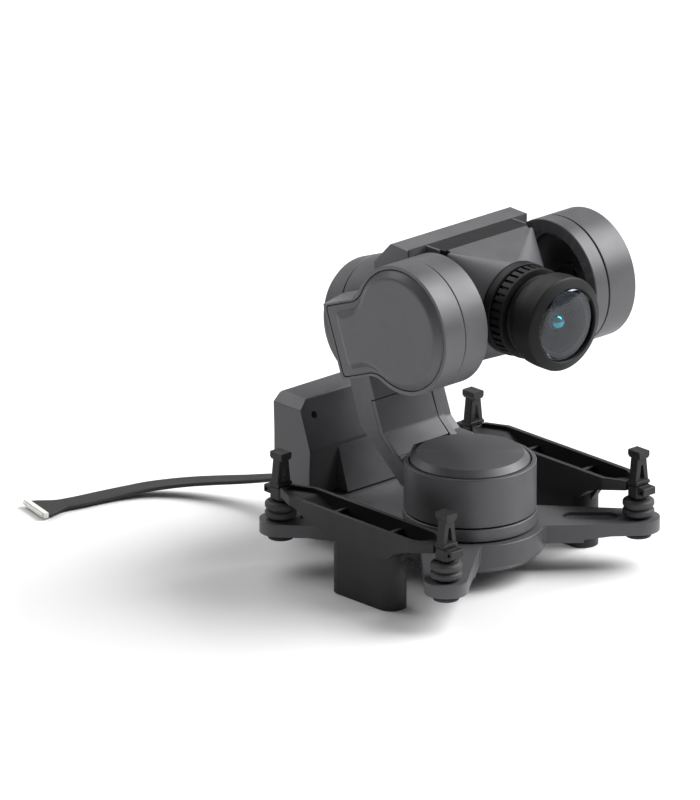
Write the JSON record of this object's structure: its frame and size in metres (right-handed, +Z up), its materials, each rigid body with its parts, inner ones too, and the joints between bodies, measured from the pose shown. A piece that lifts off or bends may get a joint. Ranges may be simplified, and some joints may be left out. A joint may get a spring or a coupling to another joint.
{
  "type": "camera gimbal",
  "caption": "Small stabilised camera gimbal: a video camera on pitch, roll and yaw motors, over a rubber-damped base with legs and a ribbon cable.",
  "frame": {"origin": "centre of the gimbal's footprint without its cable, at the bottom of the legs", "axes": "+Z up along the yaw axis, -Y the way the lens looks, +X to the right seen from the front"},
  "size_m": [0.0624, 0.0965, 0.0599],
  "materials": {
    "aluminium_dark": "matte dark grey anodised",
    "shell_plastic": "fine matte dark grey",
    "mount_plastic": "matte near-black nylon",
    "rubber": "matte",
    "black_plastic": "satin",
    "coated_glass": "anti-reflection coated, dark",
    "steel": "satin",
    "wound_copper": "enamelled wire on laminated steel",
    "circuit_board": "solder mask",
    "braided_sleeve": "flat braided sleeve",
    "connector_white": "moulded"
  },
  "bodies": {
    "mount": {"left_rail": "mount_plastic", "right_rail": "mount_plastic", "damper_front_left": "rubber", "damper_front_right": "rubber", "damper_rear_left": "rubber", "damper_rear_right": "rubber", "safety_pin_front_left": "mount_plastic", "safety_pin_front_right": "mount_plastic", "safety_pin_rear_left": "mount_plastic", "safety_pin_rear_right": "mount_plastic"},
    "base": {"base_plate": "shell_plastic", "rear_housing": "shell_plastic", "control_board": "circuit_board", "strain_relief": "rubber", "yaw_stator_housing": "aluminium_dark", "yaw_stator_core": "wound_copper", "yaw_bearing_lower": "steel", "yaw_bearing_upper": "steel", "hub_screw_1": "steel", "hub_screw_2": "steel", "hub_screw_3": "steel", "housing_screw_left": "steel", "housing_screw_right": "steel", "cable": "braided_sleeve", "cable_tail": "braided_sleeve", "cable_connector": "connector_white"},
    "yaw_arm": {"yaw_arm": "aluminium_dark", "yaw_arm_cover": "aluminium_dark", "yaw_cap": "aluminium_dark", "yaw_magnet_ring": "steel", "yaw_shaft": "steel", "roll_stator_core": "wound_copper", "roll_bearing_rear": "steel", "roll_bearing_front": "steel", "roll_end_cap": "aluminium_dark"},
    "roll_arm": {"roll_arm": "aluminium_dark", "roll_arm_cover": "aluminium_dark", "roll_magnet_ring": "steel", "roll_shaft": "steel", "pitch_stator_core": "wound_copper", "pitch_bearing_outer": "steel", "pitch_bearing_inner": "steel"},
    "camera": {"pitch_magnet_ring": "steel", "pitch_shaft": "steel", "camera_bracket": "aluminium_dark", "balance_cap": "aluminium_dark", "balance_weight": "steel", "camera_front": "shell_plastic", "camera_top_strip": "black_plastic", "camera_back": "black_plastic", "image_sensor_board": "circuit_board", "processor_board": "circuit_board", "lens_mount_ring": "black_plastic", "lens_lock_ring": "black_plastic", "lens_barrel": "black_plastic", "front_glass": "coated_glass", "middle_lens": "coated_glass", "rear_lens": "coated_glass", "bracket_screw_left": "steel", "bracket_screw_right": "steel"}
  },
  "joints": [
    {"name": "damper_travel", "type": "slide", "parent": "mount", "child": "base", "axis": [0, 0, 1], "range_m": [-0.0003, 0.0006], "stiffness_N_per_m": 1500, "springref_m": 0.0005, "deforming": ["damper_front_left", "damper_front_right", "damper_rear_left", "damper_rear_right"]},
    {"name": "yaw", "type": "hinge", "parent": "base", "child": "yaw_arm", "pos_m": [0, -0.00534, 0.0145], "axis": [0, 0, 1], "range_deg": [-160, 160]},
    {"name": "roll", "type": "hinge", "parent": "yaw_arm", "child": "roll_arm", "pos_m": [0, -0.01157, 0.0488], "axis": [0, -0.9336, 0.3584], "range_deg": [-45, 45]},
    {"name": "pitch", "type": "hinge", "parent": "roll_arm", "child": "camera", "pos_m": [0, -0.01157, 0.0488], "axis": [1, 0, 0], "range_deg": [-120, 120]}
  ]
}
